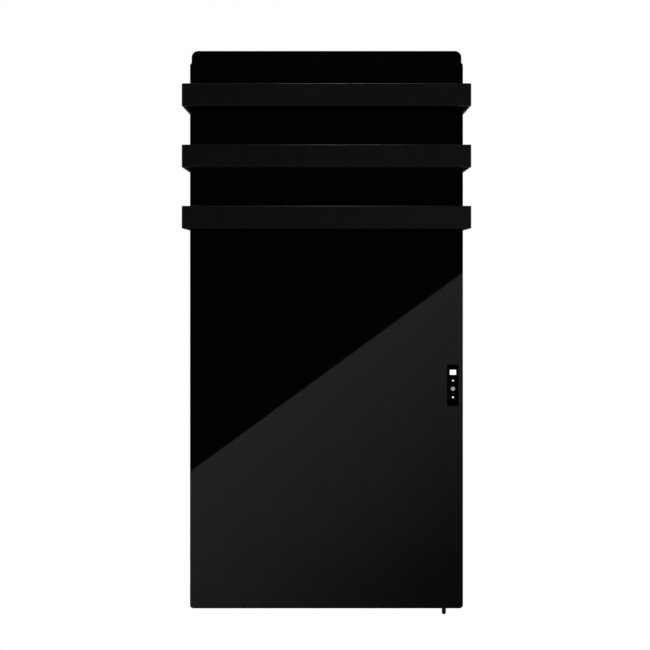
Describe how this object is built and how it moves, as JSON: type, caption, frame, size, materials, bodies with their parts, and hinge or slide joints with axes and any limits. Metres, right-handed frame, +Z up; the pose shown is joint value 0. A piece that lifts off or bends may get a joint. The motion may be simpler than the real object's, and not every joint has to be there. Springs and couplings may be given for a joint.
{
  "type": "towel warmer panel heater",
  "caption": "Wall-hung black glass panel heater with flat U-shaped towel rails, an outlet cowl, side key module and room sensor.",
  "frame": {"origin": "centre of the wall bracket's back face, on the wall", "axes": "+X right as seen from the room, +Y into the wall, +Z up"},
  "size_m": [0.5122, 0.1283, 1.043],
  "materials": {
    "glass_front": "back-painted black float glass, polished",
    "rubber": "matt black silicone rubber",
    "film": "carbon heating film",
    "aluminium": "mill-finish sheet",
    "mineral_board": "pressed mineral wool board",
    "zinc_steel": "zinc-coated sheet steel",
    "black_coat": "satin black powder coat",
    "rail_coat": "fine-textured matt black powder coat",
    "black_plastic": "moulded black plastic",
    "grey_key": "moulded mid-grey plastic",
    "display": "white backlit display window",
    "white_plastic": "moulded off-white plastic",
    "blue_plastic": "moulded blue plastic",
    "circuit": "green circuit board",
    "dark_steel": "blackened steel"
  },
  "bodies": {
    "heater": {"bottom_intake_cover": "black_plastic", "cable_gland": "black_plastic", "control_board": "circuit", "control_housing": "black_plastic", "display_module": "white_plastic", "display_window": "display", "electronics_lid": "black_plastic", "electronics_tray": "black_plastic", "gland_nut": "black_plastic", "glass_gasket": "rubber", "glass_panel": "glass_front", "heat_spreader": "aluminium", "heating_film": "film", "insulation_board": "mineral_board", "lock_screw_left": "dark_steel", "lock_screw_right": "dark_steel", "mains_switch_body": "black_plastic", "power_board": "circuit", "rail_screw_bottom_left_lower": "dark_steel", "rail_screw_bottom_left_upper": "dark_steel", "rail_screw_bottom_right_lower": "dark_steel", "rail_screw_bottom_right_upper": "dark_steel", "rail_screw_middle_left_lower": "dark_steel", "rail_screw_middle_left_upper": "dark_steel", "rail_screw_middle_right_lower": "dark_steel", "rail_screw_middle_right_upper": "dark_steel", "rail_screw_top_left_lower": "dark_steel", "rail_screw_top_left_upper": "dark_steel", "rail_screw_top_right_lower": "dark_steel", "rail_screw_top_right_upper": "dark_steel", "rail_spacer_bottom_left": "rubber", "rail_spacer_bottom_right": "rubber", "rail_spacer_middle_left": "rubber", "rail_spacer_middle_right": "rubber", "rail_spacer_top_left": "rubber", "rail_spacer_top_right": "rubber", "rear_housing": "black_coat", "reflector_plate": "zinc_steel", "relay": "blue_plastic", "sensor_grommet": "rubber", "sensor_probe": "black_plastic", "tact_switch_down": "dark_steel", "tact_switch_ok": "dark_steel", "tact_switch_up": "dark_steel", "terminal_block": "white_plastic", "thermal_cutout": "white_plastic", "top_outlet_cowl": "black_coat", "towel_rail_bottom": "rail_coat", "towel_rail_middle": "rail_coat", "towel_rail_top": "rail_coat", "transformer": "white_plastic", "wall_bracket": "zinc_steel", "wall_bumper_left": "rubber", "wall_bumper_right": "rubber"},
    "key_up": {"key_up": "black_plastic"},
    "key_ok": {"key_ok": "grey_key"},
    "key_down": {"key_down": "black_plastic"},
    "rocker": {"mains_switch_rocker": "black_plastic"}
  },
  "joints": [
    {"name": "key_up_press", "type": "slide", "parent": "heater", "child": "key_up", "axis": [0, 1, 0], "range_m": [0, 0.0008], "stiffness_N_per_m": 300, "springref_m": -0.003},
    {"name": "key_ok_press", "type": "slide", "parent": "heater", "child": "key_ok", "axis": [0, 1, 0], "range_m": [0, 0.0008], "stiffness_N_per_m": 300, "springref_m": -0.003},
    {"name": "key_down_press", "type": "slide", "parent": "heater", "child": "key_down", "axis": [0, 1, 0], "range_m": [0, 0.0008], "stiffness_N_per_m": 300, "springref_m": -0.003},
    {"name": "rocker_tilt", "type": "hinge", "parent": "heater", "child": "rocker", "pos_m": [0.2484, -0.036, -0.264], "axis": [0, 1, 0], "range_deg": [0, 16]}
  ]
}
